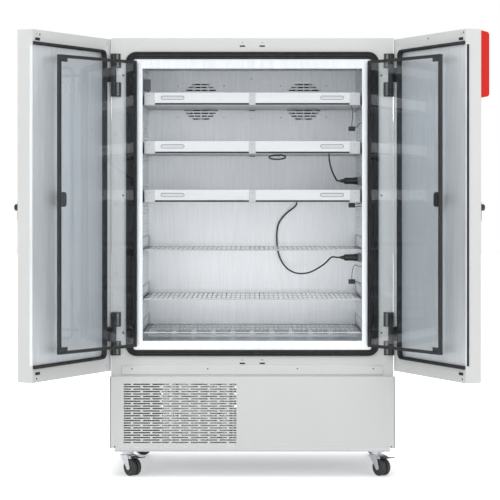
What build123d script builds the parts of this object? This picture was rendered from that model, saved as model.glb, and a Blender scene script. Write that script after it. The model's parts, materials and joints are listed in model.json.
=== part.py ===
from build123d import *
import math
import os

# Double-door climate chamber on casters, doors open.
# Millimetres. X to the right, Y into the cabinet, Z up. While it is drawn, the front
# flange lies at y = 0 and the floor at z = 0; on export it moves back by origin_shift().

# Chamber
INNER_WIDTH = 973.0
INNER_HEIGHT = 1250.0
TUB_DEPTH = 700.0
FAN_SPACE = 84.0
LINER_SHEET = 1.0
MOUTH_LIP = 4.5
MOUTH_SILL = 26.5
MOUTH_LINTEL = 28.0
RIM_SIDE = 35.5
RIM_ENDS = 13.0

# Cabinet round the chamber
SIDE_WALL = 133.5
REAR_WALL = 85.0
ROOF_THICKNESS = 105.0
FLOOR_THICKNESS = 128.0
CASING_SHEET = 1.5
FLANGE_SHEET = 2.0
CASING_LIP = 30.0
CASTER_HEIGHT = 108.0
BASE_HEIGHT = 20.0
BASE_INSET = 14.0
BASE_SHEET = 4.0
BAY_HEIGHT = 314.0
BAY_POST = 44.0
BAY_SILL = 22.0

# Planes that most pieces share
BODY_WIDTH = INNER_WIDTH + 2 * SIDE_WALL
BODY_DEPTH = TUB_DEPTH + REAR_WALL
HALF = BODY_WIDTH / 2
SIDE_FACE = HALF - CASING_SHEET
BACK_Y = BODY_DEPTH - CASING_SHEET
BASE_TOP = CASTER_HEIGHT + BASE_HEIGHT
BAY_TOP = BASE_TOP + BAY_HEIGHT
FLOOR_Z = BAY_TOP + FLOOR_THICKNESS
CEILING_Z = FLOOR_Z + INNER_HEIGHT
TOTAL_HEIGHT = CEILING_Z + ROOF_THICKNESS
WALL_X = INNER_WIDTH / 2
TUB_X = WALL_X + LINER_SHEET
BAFFLE_DEPTH = TUB_DEPTH - FAN_SPACE
MOUTH_X = WALL_X - MOUTH_LIP
MOUTH_LOW = FLOOR_Z + MOUTH_SILL
MOUTH_HIGH = CEILING_Z - MOUTH_LINTEL
RIM_X = WALL_X + RIM_SIDE
RIM_LOW = FLOOR_Z - RIM_ENDS
RIM_HIGH = CEILING_Z + RIM_ENDS

# Seals
SEAL_HEIGHT = 12.0
SEAL_BASE = 4.0
SEAL_SIDE = 34.0
SEAL_TOP = 32.0
SEAL_BOTTOM = 26.5
SEAL_RADIUS = 48.0
DOOR_SEAL_WIDTH = 14.0
DOOR_SEAL_OVERLAP = 10.0
DOOR_SEAL_RADIUS = 30.0

# Outer doors, drawn closed
DOOR_OVERHANG = 5.0
DOOR_MEETING_GAP = 4.0
DOOR_BOTTOM = BAY_TOP + 21.0
DOOR_TOP = TOTAL_HEIGHT - 4.0
DOOR_STANDOFF = 34.0
DOOR_THICKNESS = 73.0
DOOR_SHEET = 2.0
DOOR_WRAP = 14.0
DOOR_AXIS_X = HALF - 12.0
DOOR_AXIS_Y = -10.0
LEFT_DOOR_OPEN = 117.0
RIGHT_DOOR_OPEN = 114.0
HANDLE_X = -40.0
HANDLE_Z = FLOOR_Z + 0.4928 * INNER_HEIGHT

# Latch slots in the flange and in the doors
STRIKER_X = 43.5
STRIKER_SLOT = 24.0
STRIKER_OPENING = 7.0
STRIKER_DROP = 34.5
STRIKER_RISE = 55.5
LATCH_X = 42.0
LATCH_SLOT = 36.0
LATCH_OPENING = 12.0
LATCH_DROP = 39.0
LATCH_RISE = 37.0

# Door hinges
HINGE_BARREL = 9.5
HINGE_PIN = 4.0
HINGE_BLOCK_WIDTH = 44.0
HINGE_BLOCK_HEIGHT = 63.0
HINGE_KNUCKLE = 61.4
HINGE_UPPER_Z = DOOR_TOP - 158.5
HINGE_LOWER_Z = DOOR_BOTTOM + 165.0
HINGE_GAP = 0.8
PIN_CLEARANCE = 0.05

# Glass doors, drawn closed
GLASS_DOOR_WIDTH = WALL_X + 20.5
GLASS_MEETING_GAP = 2.0
GLASS_DOOR_LOW = FLOOR_Z + 2.0
GLASS_DOOR_HIGH = CEILING_Z + 4.0
GLASS_FRAME_DEPTH = 14.0
GLASS_FRAME_WIDTH = 13.0
GLASS_PANE = 5.0
GLASS_AXIS_X = WALL_X + 27.5
GLASS_AXIS_Y = -16.0
LEFT_GLASS_OPEN = 126.0
RIGHT_GLASS_OPEN = 123.0
GLASS_HINGE_UPPER_Z = GLASS_DOOR_HIGH - 87.5
GLASS_HINGE_LOWER_Z = GLASS_DOOR_LOW + 86.5
GLASS_HINGE_HEIGHT = 53.0
GLASS_KNUCKLE = 18.0
GLASS_BARREL = 4.5
GLASS_PIN = 2.0

# Shelves and their wall carriers
SHELF_SHARES = (0.3368, 0.1632, 0.0456)
SHELF_LEVELS = tuple(FLOOR_Z + share * INNER_HEIGHT for share in SHELF_SHARES)
SHELF_NAMES = ("upper", "middle", "lower")
SHELF_FRONT = 45.0
SHELF_REAR_GAP = 41.0
SHELF_DEPTH = BAFFLE_DEPTH - SHELF_REAR_GAP - SHELF_FRONT
SHELF_SIDE_GAP = 7.5
SHELF_BAR = 6.0
SHELF_WIRE = 4.0
SHELF_PITCH = 21.5
RAIL_REACH = 17.0
RAIL_SHEET = 2.0
CARRIER_WIRE = 5.0
CARRIER_HEIGHT = 60.0
RUNNING_GAP = 0.3

# Light cassettes
CASSETTE_SHARES = (0.8512, 0.6796, 0.508)
CASSETTE_LEVELS = tuple(FLOOR_Z + share * INNER_HEIGHT for share in CASSETTE_SHARES)
CASSETTE_HEIGHT = 55.0
CASSETTE_SIDE_GAP = 10.5
CASSETTE_FRONT = 50.0
CASSETTE_REAR_GAP = 36.0
CASSETTE_DEPTH = BAFFLE_DEPTH - CASSETTE_REAR_GAP - CASSETTE_FRONT
CASSETTE_SHEET = 1.5
CASSETTE_LIP = 8.0
CASSETTE_RECESS = 1.0
FRONT_BAR = 6.0
FRONT_CAP = 9.0
END_CAP_WIDTH = 46.0
CENTRE_CAP_WIDTH = 29.0
BAR_FOOT = 9.0
BAR_SLOT_X = WALL_X - 134.5
BAR_SLOT_LENGTH = 104.0
BAR_SLOT_HEIGHT = 17.0
DIFFUSER = 3.0

# Rear baffle's return slots
RETURN_SLOTS = 10
RETURN_MARGIN = 26.5
RETURN_WEB = 24.0
RETURN_SILL = 12.0
RETURN_HEIGHT = 18.0

# Circulation fans behind the rear baffle
FAN_X = 241.5
FAN_Z = CEILING_Z - 145.5
FAN_RADIUS = 88.0
FAN_OPENING = 93.0
FAN_HUB = 30.0
FAN_BLADES = 7
FAN_FRONT_GAP = 12.0
FAN_DEPTH = 34.0
GRILLE_WIDTH = 232.0
GRILLE_HEIGHT = 229.0
GRILLE_ROWS = 13
GRILLE_PITCH = 13.5
GRILLE_SLOT = 6.0
FAN_SHAFT = 4.0

# Machine bay
COVER_WIDTH = BODY_WIDTH + 10.0
COVER_DEPTH = 28.0
COVER_SHEET = 1.5
COVER_RADIUS = 9.0
COVER_FLANGE = 24.0
VENT_LEFT = 57.0 - HALF
VENT_TOP = BAY_TOP - 31.0
VENT_ROWS = 25
VENT_ROW_PITCH = 10.6
VENT_SLOT = 73.5
VENT_WEB = 10.5
VENT_HEIGHT = 5.0
COOLING_FAN_X = -240.0
COOLING_FAN_Z = BASE_TOP + 156.0
COOLING_FAN_RADIUS = 118.0
COOLING_FAN_Y = 46.0
COOLING_FAN_DEPTH = 34.0
COOLING_BLADES = 5

# Casters
CASTER_X = HALF - 70.0
CASTER_FRONT_Y = 62.0
CASTER_REAR_Y = BODY_DEPTH - 73.0
CASTER_TRAIL = 30.0
WHEEL_RADIUS = 37.5
WHEEL_WIDTH = 46.0
BRAKE_PIVOT_X = 38.0
BRAKE_PIVOT_Z = 82.0
BRAKE_PIN = 2.5
CASTER_TURN = {"front_left": -45.0, "front_right": -50.0, "rear_left": 20.0, "rear_right": 8.0}

# Cables and plugs inside the chamber
CABLE_RADIUS = 3.5
LEAD_RADIUS = 1.5
SOCKET_DEPTH = 12.5
PLUG_LENGTH = 79.0
PLUG_RADIUS = 14.5
UPPER_PLUG = (220.0, FLOOR_Z + 0.584 * INNER_HEIGHT)
LOWER_PLUG = (200.0, FLOOR_Z + 0.3088 * INNER_HEIGHT)
CONNECTOR_SIZE = (29.5, 14.0, 20.5)
CONNECTOR_X = WALL_X - 43.5
CONNECTOR_Y = 120.0
CONNECTOR_SHARES = (0.7692, 0.4968, 0.2252)
CONNECTOR_LEVELS = tuple(FLOOR_Z + share * INNER_HEIGHT for share in CONNECTOR_SHARES)

# Climate sensor on the left wall
SENSOR_GAP = 2.0
SENSOR_ROD = 15.0
SENSOR_WIDTH = 29.0
SENSOR_Y = 190.0
SENSOR_DEPTH = 42.0
SENSOR_HEIGHT = 50.0

# Access port through the left wall
PORT_Y = 350.0
PORT_Z = FLOOR_Z + 0.7824 * INNER_HEIGHT
PORT_BORE = 15.0
PORT_WALL = 3.0
PORT_FLANGE = 26.0
PORT_FLANGE_THICKNESS = 2.5

# Planes of the seals and doors
SEAL_X = RIM_X + SEAL_SIDE
SEAL_LOW = RIM_LOW - SEAL_BOTTOM
SEAL_HIGH = RIM_HIGH + SEAL_TOP
DOOR_X = HALF + DOOR_OVERHANG
DOOR_EDGE = DOOR_MEETING_GAP / 2
DOOR_INNER_Y = -DOOR_STANDOFF
DOOR_OUTER_Y = DOOR_INNER_Y - DOOR_THICKNESS
DOOR_SEAL_X = SEAL_X + 4.0
DOOR_SEAL_LOW = SEAL_LOW - DOOR_SEAL_OVERLAP
DOOR_SEAL_HIGH = SEAL_HIGH + 6.0


def block(x0, x1, y0, y1, z0, z1):
    """A box between two opposite corners."""
    centre = Pos((x0 + x1) / 2, (y0 + y1) / 2, (z0 + z1) / 2)
    return centre * Box(x1 - x0, y1 - y0, z1 - z0)


def face(x0, x1, z0, z1, radius=0.0):
    """A rectangle in the XZ plane, with round corners where a radius is given."""
    size = (x1 - x0, z1 - z0)
    outline = RectangleRounded(*size, radius) if radius else Rectangle(*size)
    return Pos((x0 + x1) / 2, (z0 + z1) / 2) * outline


def plate(outline, y0, y1):
    """An XZ outline given thickness from y0 to y1."""
    return extrude(Plane.XZ.offset(-y1) * outline, amount=y1 - y0)


def rod_x(radius, x0, x1, y, z):
    return Pos((x0 + x1) / 2, y, z) * Rot(0, 90, 0) * Cylinder(radius, x1 - x0)


def rod_y(radius, y0, y1, x, z):
    return Pos(x, (y0 + y1) / 2, z) * Rot(90, 0, 0) * Cylinder(radius, y1 - y0)


def rod_z(radius, z0, z1, x, y):
    return Pos(x, y, (z0 + z1) / 2) * Cylinder(radius, z1 - z0)


def turned(profile, x=0.0, y=0.0, z=0.0):
    """A closed profile of (radius, height) points revolved about a vertical axis."""
    outline = make_face(Polyline(*profile, close=True))
    return Pos(x, y, z) * revolve(Plane.XZ * outline, Axis.Z)


def mirrored(shape):
    return mirror(shape, about=Plane.YZ)


def swung(shape, axis_x, axis_y, degrees):
    """Turned about a vertical hinge axis."""
    return Pos(axis_x, axis_y, 0) * Rot(0, 0, degrees) * Pos(-axis_x, -axis_y, 0) * shape


def cable(points, radius):
    """A tube along straight runs joined by the largest arcs that fit."""
    points = [Vector(*p) for p in points]
    radii = []
    for a, b, c in zip(points, points[1:], points[2:]):
        turn = math.radians((b - a).get_angle(c - b))
        radii.append(0.45 * min((b - a).length, (c - b).length) / math.tan(turn / 2))
    path = FilletPolyline(*points, radius=radii)
    section = Plane(origin=points[0], z_dir=points[1] - points[0]) * Circle(radius)
    tube = sweep(section, path)
    print("cable length", round(path.length), "radii", [round(r) for r in radii])
    print("  volume over section times length",
          round(tube.volume / (math.pi * radius**2 * path.length), 4))
    return tube


def impeller(radius, hub, depth, blades, pitch, bore, chord):
    """An axial fan on the Y axis: hub, and flat blades set at a pitch."""
    core = rod_y(hub, 0, depth, 0, 0)
    sweep_ring = rod_y(radius, 0, depth, 0, 0)
    blade = Pos(0, depth / 2, (radius + hub) / 2) * Rot(0, 0, pitch) * Box(chord, 2.0, radius)
    for i in range(blades):
        core += sweep_ring & (Rot(0, 360 * i / blades, 0) * blade)
    return core - rod_y(bore, depth / 3, depth, 0, 0)


def outer_casing():
    """The painted wrap: two sides, whose lips stand on the base, and the top between them."""
    top = TOTAL_HEIGHT - CASING_SHEET
    side = block(-HALF, -SIDE_FACE, FLANGE_SHEET, BACK_Y, BASE_TOP, TOTAL_HEIGHT)
    side += block(-SIDE_FACE, -SIDE_FACE + CASING_LIP, FLANGE_SHEET, BACK_Y, BASE_TOP, BASE_TOP + CASING_SHEET)
    roof = block(-SIDE_FACE, SIDE_FACE, FLANGE_SHEET, BACK_Y, top, TOTAL_HEIGHT)
    return Compound([side - port_hole(), mirrored(side), roof])


def port_hole():
    return rod_x(PORT_BORE + PORT_WALL, -HALF - 1, -WALL_X + 1, PORT_Y, PORT_Z)


def back_panel():
    """Rear sheet with louvre slots for the machine bay."""
    sheet = block(-HALF, HALF, BACK_Y, BODY_DEPTH, BASE_TOP, TOTAL_HEIGHT)
    for row in range(6):
        for column in (-1.5, -0.5, 0.5, 1.5):
            x, z = column * 230, BASE_TOP + 92 + row * 30
            sheet -= block(x - 90, x + 90, BACK_Y - 1, BODY_DEPTH + 1, z, z + 7)
    return sheet


def front_frame():
    """White flange round the chamber and the bay, with the bay's ceiling behind it."""
    outline = face(-HALF, HALF, BASE_TOP, TOTAL_HEIGHT) - face(-RIM_X, RIM_X, RIM_LOW, RIM_HIGH)
    post = HALF - BAY_POST
    outline -= face(-post, post, BASE_TOP + BAY_SILL, BAY_TOP)
    for x in (-STRIKER_X, STRIKER_X):
        for z in (TOTAL_HEIGHT - STRIKER_DROP, BAY_TOP + STRIKER_RISE):
            outline -= face(x - STRIKER_SLOT / 2, x + STRIKER_SLOT / 2, z - STRIKER_OPENING / 2, z + STRIKER_OPENING / 2)
    ceiling = block(-SIDE_FACE, SIDE_FACE, FLANGE_SHEET, BACK_Y, BAY_TOP, BAY_TOP + 2)
    return plate(outline, 0, FLANGE_SHEET) + ceiling


def insulation():
    """Foam between the casing and the steel tub."""
    foam = block(-SIDE_FACE, SIDE_FACE, FLANGE_SHEET, BACK_Y, BAY_TOP + 2, TOTAL_HEIGHT - CASING_SHEET)
    foam -= block(-TUB_X, TUB_X, 0, TUB_DEPTH + LINER_SHEET, FLOOR_Z - LINER_SHEET, CEILING_Z + LINER_SHEET)
    return foam - port_hole()


def chamber_liner():
    """Stainless tub of five sheets, with a rim of four strips in the flange's window."""
    low, high, back = FLOOR_Z - LINER_SHEET, CEILING_Z + LINER_SHEET, TUB_DEPTH + LINER_SHEET
    side = block(-TUB_X, -WALL_X, LINER_SHEET, back, low, high)
    sheets = [
        side - port_hole(), mirrored(side),
        block(-WALL_X, WALL_X, LINER_SHEET, back, low, FLOOR_Z),
        block(-WALL_X, WALL_X, LINER_SHEET, back, CEILING_Z, high),
        block(-WALL_X, WALL_X, TUB_DEPTH, back, FLOOR_Z, CEILING_Z),
        block(-RIM_X, RIM_X, 0, LINER_SHEET, RIM_LOW, MOUTH_LOW),
        block(-RIM_X, RIM_X, 0, LINER_SHEET, MOUTH_HIGH, RIM_HIGH),
        block(-RIM_X, -MOUTH_X, 0, LINER_SHEET, MOUTH_LOW, MOUTH_HIGH),
        block(MOUTH_X, RIM_X, 0, LINER_SHEET, MOUTH_LOW, MOUTH_HIGH),
    ]
    return Compound(sheets)


def frame_gasket():
    """Moulded ring on the flange with three ribs."""
    def ring(outside, inside, height):
        def outline(inset, radius):
            share = inset / SEAL_SIDE
            return face(-SEAL_X + inset, SEAL_X - inset, SEAL_LOW + share * SEAL_BOTTOM,
                        SEAL_HIGH - share * SEAL_TOP, radius)
        outer = outline(outside, SEAL_RADIUS - outside)
        inner = outline(inside, max(SEAL_RADIUS - inside, 2)) if inside < SEAL_SIDE else outline(inside, 0)
        return plate(outer - inner, -height, 0)

    return ring(0, SEAL_SIDE, SEAL_BASE) + ring(0, 8, SEAL_HEIGHT) + ring(13, 20, SEAL_HEIGHT) + ring(
        25, 32, SEAL_HEIGHT)


def fan_centres():
    return ((-FAN_X, FAN_Z), (FAN_X, FAN_Z))


def rear_baffle():
    """False rear wall with two fan openings and a row of return slots at the floor."""
    wall = block(-WALL_X, WALL_X, BAFFLE_DEPTH, BAFFLE_DEPTH + 1.5, FLOOR_Z, CEILING_Z)
    for x, z in fan_centres():
        wall -= rod_y(FAN_OPENING, BAFFLE_DEPTH - 1, BAFFLE_DEPTH + 3, x, z)
    pitch = (INNER_WIDTH - 2 * RETURN_MARGIN) / RETURN_SLOTS
    for i in range(RETURN_SLOTS):
        x = (i - (RETURN_SLOTS - 1) / 2) * pitch
        reach = pitch / 2 - RETURN_WEB / 2
        wall -= block(x - reach, x + reach, BAFFLE_DEPTH - 1, BAFFLE_DEPTH + 3, FLOOR_Z + RETURN_SILL,
                      FLOOR_Z + RETURN_SILL + RETURN_HEIGHT)
    return wall


def fan_grilles():
    """A plate over each fan with rows of slots that fill a circle."""
    plates = []
    for x, z in fan_centres():
        outline = face(x - GRILLE_WIDTH / 2, x + GRILLE_WIDTH / 2, z - GRILLE_HEIGHT / 2, z + GRILLE_HEIGHT / 2, 4)
        for row in range(GRILLE_ROWS):
            height = (row - (GRILLE_ROWS - 1) / 2) * GRILLE_PITCH
            chord = math.sqrt(FAN_OPENING**2 - height**2) - 3
            webs = 4 if chord > 60 else 2
            step = 2 * chord / webs
            for i in range(webs):
                left = x - chord + i * step + 2
                outline -= face(left, left + step - 4, z + height - GRILLE_SLOT / 2, z + height + GRILLE_SLOT / 2)
        plates.append(plate(outline, BAFFLE_DEPTH - 1.5, BAFFLE_DEPTH))
    return Compound(plates)


def circulation_fan(x):
    wheel = impeller(FAN_RADIUS, FAN_HUB, FAN_DEPTH, FAN_BLADES, 38, FAN_SHAFT + PIN_CLEARANCE, 58)
    return Pos(x, BAFFLE_DEPTH + 1.5 + FAN_FRONT_GAP, FAN_Z) * wheel


def fan_motors():
    """Circulation motors on the tub's back wall, and the cooling fan's motor."""
    motors = []
    front = BAFFLE_DEPTH + 1.5 + FAN_FRONT_GAP
    for x, z in fan_centres():
        can = rod_y(36, front + FAN_DEPTH + 4, TUB_DEPTH, x, z)
        motors.append(can + rod_y(FAN_SHAFT, front + FAN_DEPTH / 3 + 1, TUB_DEPTH - 1, x, z))
    rear = COOLING_FAN_Y + COOLING_FAN_DEPTH
    can = rod_y(42, rear + 5, rear + 65, COOLING_FAN_X, COOLING_FAN_Z)
    can += rod_y(FAN_SHAFT, COOLING_FAN_Y + COOLING_FAN_DEPTH / 3 + 1, rear + 60, COOLING_FAN_X, COOLING_FAN_Z)
    return Compound(motors + [can])


def condenser_fan():
    wheel = impeller(COOLING_FAN_RADIUS, 34, COOLING_FAN_DEPTH, COOLING_BLADES, 30, FAN_SHAFT + PIN_CLEARANCE, 92)
    return Pos(COOLING_FAN_X, COOLING_FAN_Y, COOLING_FAN_Z) * wheel


def heat_exchangers():
    """Finned condenser in the bay, and the evaporator behind the baffle."""
    front = COOLING_FAN_Y + COOLING_FAN_DEPTH + 65
    coils = []
    for x0, x1, y0, y1, z0, z1 in (
        (COOLING_FAN_X - 160, COOLING_FAN_X + 160, front, front + 60, BASE_TOP - BASE_HEIGHT + BASE_SHEET, BAY_TOP - 12),
        (-250.0, 250.0, TUB_DEPTH - 34, TUB_DEPTH, FLOOR_Z + 80, FLOOR_Z + 400),
    ):
        core = block(x0, x1, y0, y1, z0, z1)
        for i in range(9):
            x = x0 + (i + 0.5) * (x1 - x0) / 9
            core -= block(x - 7, x + 7, y0 - 1, y0 + 12, z0 + 14, z1 - 14)
        coils.append(core)
    return Compound(coils)


def compressor():
    """Hermetic can with domed ends on three rubber feet."""
    floor = CASTER_HEIGHT + BASE_SHEET
    profile = [(0, 12), (70, 12), (86, 30), (86, 175), (74, 205), (40, 222), (0, 226)]
    can = turned(profile, 250, 380, floor)
    for angle in (90, 210, 330):
        x = 250 + 72 * math.cos(math.radians(angle))
        y = 380 + 72 * math.sin(math.radians(angle))
        can += rod_z(14, floor, floor + 24, x, y)
    return can


def base_chassis():
    """Welded pan of a floor and four sides, set back behind the lower cover."""
    x, y0, y1 = HALF - BASE_INSET, BASE_INSET, BODY_DEPTH - BASE_INSET
    floor_top = CASTER_HEIGHT + BASE_SHEET
    side = block(-x, -x + BASE_SHEET, y0, y1, floor_top, BASE_TOP)
    return Compound([
        block(-x, x, y0, y1, CASTER_HEIGHT, floor_top), side, mirrored(side),
        block(-x + BASE_SHEET, x - BASE_SHEET, y0, y0 + BASE_SHEET, floor_top, BASE_TOP),
        block(-x + BASE_SHEET, x - BASE_SHEET, y1 - BASE_SHEET, y1, floor_top, BASE_TOP),
    ])


def lower_front_cover():
    """Folded tray in front of the bay, with two kinds of slot row in turn."""
    half = COVER_WIDTH / 2
    shell = block(-half, half, -COVER_DEPTH, 0, BASE_TOP, BAY_TOP)
    corners = shell.edges().filter_by(Axis.Z).sort_by(Axis.Y)[:2]
    shell = fillet(corners, COVER_RADIUS)
    shell -= block(-half + COVER_SHEET, half - COVER_SHEET, -COVER_DEPTH + COVER_SHEET, -COVER_SHEET,
                   BASE_TOP + COVER_SHEET, BAY_TOP - COVER_SHEET)
    opening = half - COVER_FLANGE
    shell -= block(-opening, opening, -COVER_SHEET - 1, 1, BASE_TOP + 20, BAY_TOP - 20)
    return shell - plate(vent_slots(), -COVER_DEPTH - 1, -COVER_DEPTH + COVER_SHEET + 1)


def vent_slots():
    """Slot rows: six whole slots, or five between two short ones."""
    step = VENT_SLOT + VENT_WEB
    slots = Sketch()
    for row in range(VENT_ROWS):
        z1 = VENT_TOP - row * VENT_ROW_PITCH
        offset = 0 if row % 2 else -step / 2
        count = 6 if row % 2 else 7
        for i in range(count):
            left = max(VENT_LEFT, VENT_LEFT + offset + i * step)
            right = min(VENT_LEFT + 6 * step - VENT_WEB, VENT_LEFT + offset + i * step + VENT_SLOT)
            slots += face(left, right, z1 - VENT_HEIGHT, z1)
    return slots


def gutter_cover():
    """Shallow cover over the drip gutter below the frame gasket."""
    low, high, half = BAY_TOP + 4, SEAL_LOW - 40, HALF - 47
    profile = make_face(Polyline((0, low), (-6, low + 4), (-6, high - 8), (-2, high), (0, high), close=True))
    return Pos(-half, 0, 0) * extrude(Plane.YZ * profile, amount=2 * half)


def light_cassettes():
    """Three lamp trays, open below, each with a slotted front bar and three caps."""
    x, y0, y1 = WALL_X - CASSETTE_SIDE_GAP, CASSETTE_FRONT, CASSETTE_FRONT + CASSETTE_DEPTH
    trays = []
    for low in CASSETTE_LEVELS:
        high = low + CASSETTE_HEIGHT
        tray = block(-x, x, y0, y1, low, high)
        tray -= block(-x + CASSETTE_SHEET, x - CASSETTE_SHEET, y0 + CASSETTE_SHEET, y1 - CASSETTE_SHEET,
                      low + CASSETTE_RECESS, high - CASSETTE_SHEET)
        lip = CASSETTE_SHEET + CASSETTE_LIP
        tray -= block(-x + lip, x - lip, y0 + lip, y1 - lip, low - 1, low + CASSETTE_RECESS + 1)
        bar = face(-x, x, low + BAR_FOOT, high)
        for side in (-1, 1):
            slot = SlotOverall(BAR_SLOT_LENGTH, BAR_SLOT_HEIGHT)
            bar -= Pos(side * BAR_SLOT_X, low + 32) * slot
        tray += plate(bar, y0 - FRONT_BAR, y0)
        caps = face(-x, -x + END_CAP_WIDTH, low, high) + face(x - END_CAP_WIDTH, x, low, high)
        caps += face(-CENTRE_CAP_WIDTH / 2, CENTRE_CAP_WIDTH / 2, low, high)
        trays.append(tray + plate(caps, y0 - FRONT_CAP, y0))
    return Compound(trays)


def cassette_diffusers():
    """Pale sheet that lies on each tray's lips."""
    x, y0, y1 = WALL_X - CASSETTE_SIDE_GAP, CASSETTE_FRONT, CASSETTE_FRONT + CASSETTE_DEPTH
    wall = CASSETTE_SHEET
    return Compound([block(-x + wall, x - wall, y0 + wall, y1 - wall, low + CASSETTE_RECESS,
                           low + CASSETTE_RECESS + DIFFUSER) for low in CASSETTE_LEVELS])


def wall_rail(top):
    """Angle rail on the left wall, its ledge ending at the given height."""
    y0, y1 = SHELF_FRONT, SHELF_FRONT + SHELF_DEPTH
    ledge = block(-WALL_X, -WALL_X + RAIL_REACH, y0, y1, top - RAIL_SHEET, top)
    return ledge + block(-WALL_X, -WALL_X + RAIL_SHEET, y0, y1, top - RAIL_SHEET, top + 14)


def shelf_carriers():
    """Wall rails for trays and shelves; a shelf's rail also carries an anti-tilt wire."""
    left = [wall_rail(low) for low in CASSETTE_LEVELS]
    y0, y1 = SHELF_FRONT, SHELF_FRONT + SHELF_DEPTH
    x0, x1 = -WALL_X, -WALL_X + CARRIER_WIRE
    for level in SHELF_LEVELS:
        carrier = wall_rail(level - RUNNING_GAP)
        high = level + CARRIER_HEIGHT
        carrier += block(x0, x1, y0, y0 + CARRIER_WIRE, level - RAIL_SHEET, high)
        carrier += block(x0, x1, y1 - CARRIER_WIRE, y1, level - RAIL_SHEET, high)
        carrier += block(x0, x1, y0, y1, high - CARRIER_WIRE, high)
        left.append(carrier)
    return Compound(left + [mirrored(rail) for rail in left])


def shelf(level):
    """Wire grid: a square bar frame, two cross bars, and wires from front to back."""
    x = WALL_X - SHELF_SIDE_GAP
    y0, y1 = SHELF_FRONT, SHELF_FRONT + SHELF_DEPTH
    grid = block(-x, x, y0, y1, level, level + SHELF_BAR)
    grid -= block(-x + SHELF_BAR, x - SHELF_BAR, y0 + SHELF_BAR, y1 - SHELF_BAR, level - 1, level + SHELF_BAR + 1)
    for y in (y0 + SHELF_DEPTH / 3, y0 + 2 * SHELF_DEPTH / 3):
        grid += block(-x + 1, x - 1, y - 2.5, y + 2.5, level, level + 3)
    count = int(2 * (x - SHELF_BAR) // SHELF_PITCH)
    wires = []
    for i in range(count):
        place = (i - (count - 1) / 2) * SHELF_PITCH
        section = Pos(place, level + SHELF_BAR - SHELF_WIRE / 2) * RegularPolygon(SHELF_WIRE / 2, 6)
        wires.append(plate(section, y0 + SHELF_BAR / 2, y1 - SHELF_BAR / 2))
    return grid + wires


def wall_fittings():
    """Two cable sockets on the right wall and the climate sensor on the left wall."""
    fittings = []
    for y, z in (UPPER_PLUG, LOWER_PLUG):
        fittings.append(block(WALL_X - SOCKET_DEPTH, WALL_X, y - 22, y + 22, z - 19, z + 19))
    foot = CASSETTE_LEVELS[0] + CASSETTE_HEIGHT + SENSOR_GAP
    low = foot + SENSOR_ROD
    head = block(-WALL_X, -WALL_X + SENSOR_WIDTH, SENSOR_Y, SENSOR_Y + SENSOR_DEPTH, low, low + SENSOR_HEIGHT)
    for y in (SENSOR_Y + 10, SENSOR_Y + SENSOR_DEPTH - 10):
        head += rod_z(4, foot, low + 1, -WALL_X + 18, y)
    return Compound(fittings + [head])


def cable_plugs():
    """Round plugs in the wall sockets, and three small lead connectors."""
    x1 = WALL_X - SOCKET_DEPTH
    profile = [(0, 0), (6, 0), (9, 16), (PLUG_RADIUS, 21), (PLUG_RADIUS, 60), (16.5, 62), (16.5, PLUG_LENGTH),
               (0, PLUG_LENGTH)]
    pieces = []
    for y, z in (UPPER_PLUG, LOWER_PLUG):
        pieces.append(Pos(x1 - PLUG_LENGTH, y, z) * Rot(0, 90, 0) * turned(profile))
    for z in CONNECTOR_LEVELS:
        pieces.append(Pos(CONNECTOR_X, CONNECTOR_Y, z) * Box(*CONNECTOR_SIZE))
    return Compound(pieces)


def upper_light_cable():
    """From the middle tray's front lip back and down to the upper plug."""
    y, z = UPPER_PLUG
    end = WALL_X - SOCKET_DEPTH - PLUG_LENGTH
    low = CASSETTE_LEVELS[1]
    start_y = CASSETTE_FRONT + 5.5
    return cable([(end - 56, start_y, low), (end - 56, start_y, low - 16), (end - 52, start_y + 20, low - 40),
                  (end - 44, start_y + 58, low - 66), (end - 31, start_y + 106, low - 94), (end - 17, y - 18, z + 6),
                  (end - 14, y, z), (end, y, z)], CABLE_RADIUS)


def lower_light_cable():
    """From the bottom tray down behind the upper shelf, and forward to the lower plug."""
    y, z = LOWER_PLUG
    end = WALL_X - SOCKET_DEPTH - PLUG_LENGTH
    low = CASSETTE_LEVELS[2]
    rear = CASSETTE_FRONT + CASSETTE_DEPTH - 5
    gap_y = BAFFLE_DEPTH - 19
    points = [
        (end - 186, rear, low), (end - 186, rear, low - 12), (end - 199, rear + 5, low - 28),
        (end - 230, gap_y - 6, low - 50), (end - 255, gap_y, low - 76), (end - 273, gap_y, low - 104),
        (end - 280, gap_y, low - 142), (end - 280, gap_y, low - 184), (end - 277, gap_y, low - 222),
        (end - 269, gap_y - 8, low - 256), (end - 253, gap_y - 34, low - 290), (end - 229, gap_y - 72, low - 316),
        (end - 199, gap_y - 120, low - 330), (end - 163, gap_y - 178, low - 332), (end - 127, gap_y - 236, low - 322),
        (end - 94, gap_y - 286, low - 301), (end - 63, gap_y - 334, low - 277), (end - 38, gap_y - 370, z + 4),
        (end - 16, y, z), (end, y, z),
    ]
    return cable(points, CABLE_RADIUS)


def spare_cable_loop():
    """Spare length coiled and tied up under the middle tray."""
    ring, tube, tilt = 38.0, 5.0, 16.0
    rise = ring * math.sin(math.radians(tilt)) + tube
    top = CASSETTE_LEVELS[1] + CASSETTE_RECESS - RUNNING_GAP
    return Pos(111, 104, top - rise) * Rot(tilt, 0, 0) * Torus(ring, tube)


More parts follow.
